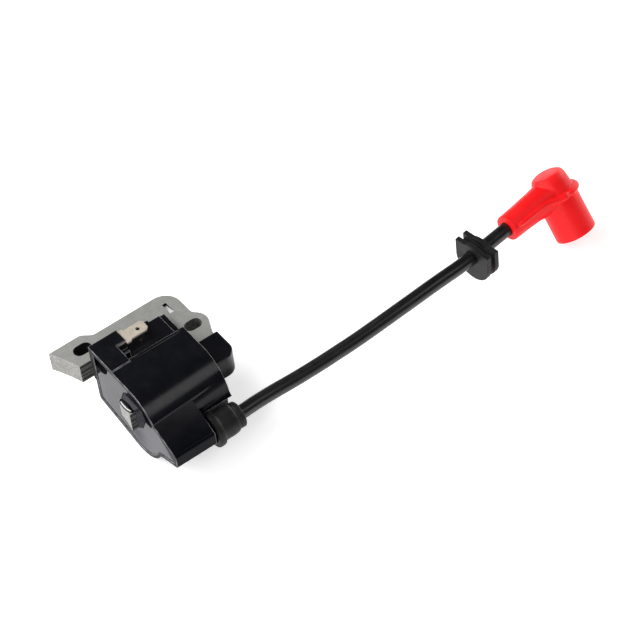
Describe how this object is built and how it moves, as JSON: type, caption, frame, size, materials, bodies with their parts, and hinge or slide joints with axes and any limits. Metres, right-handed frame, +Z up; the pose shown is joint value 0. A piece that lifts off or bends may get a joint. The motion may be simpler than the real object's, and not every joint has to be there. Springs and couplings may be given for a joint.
{
  "type": "ignition coil",
  "caption": "Small-engine ignition coil: laminated U core, potted black housing with a spade tab, and a high-tension lead with a panel grommet and a red right-angle plug cap.",
  "frame": {"origin": "below the middle of the coil module's box (core, housing and tower, without the free lead), at the lowest point of the round housing barrel", "axes": "+Y from the pole faces towards the yoke, the way the lead leaves; +X from the bolt-on leg towards the lead tower; +Z up, square to the laminations, on the terminal side"},
  "size_m": [0.0655, 0.183, 0.0293],
  "materials": {
    "core_steel": "stacked sheet steel, dull satin",
    "housing_plastic": "glossy black",
    "epoxy": "glossy black casting resin",
    "tinned_metal": "tinned, satin",
    "bobbin_plastic": "natural nylon",
    "copper_wire": "enamelled copper",
    "board": "green laminate",
    "component_black": "moulded black",
    "component_tan": "lacquered",
    "brass_pin": "turned brass",
    "lead_rubber": "satin black insulation",
    "boot_rubber": "matt black rubber",
    "cap_rubber": "satin red rubber",
    "spring_steel": "bright spring wire"
  },
  "bodies": {
    "root": {"lamination_stack": "core_steel", "housing": "housing_plastic", "potting": "epoxy", "yoke_cover": "housing_plastic", "kill_terminal": "tinned_metal", "primary_bobbin": "bobbin_plastic", "primary_winding": "copper_wire", "secondary_bobbin": "bobbin_plastic", "secondary_winding": "copper_wire", "circuit_board": "board", "power_transistor": "component_black", "driver_transistor": "component_black", "resistors": "component_tan", "diode": "component_black", "capacitor": "component_tan", "ground_strap": "tinned_metal", "primary_leads": "copper_wire", "ht_link": "copper_wire", "contact_pin": "brass_pin", "lead_tail": "lead_rubber", "tail_core": "copper_wire", "lead_boot": "boot_rubber", "ht_lead": "lead_rubber", "cap_core": "copper_wire"},
    "grommet": {"grommet": "boot_rubber"},
    "cap": {"plug_cap": "cap_rubber", "cap_spring": "spring_steel"}
  },
  "joints": [
    {"name": "grommet_slide", "type": "slide", "parent": "root", "child": "grommet", "axis": [-0.1392, 0.9903, 0], "range_m": [-0.004, 0.009]},
    {"name": "cap_swivel", "type": "hinge", "parent": "root", "child": "cap", "pos_m": [0.0199, 0.1496, 0.0191], "axis": [-0.1392, 0.9903, 0], "range_deg": [-90, 90]}
  ]
}
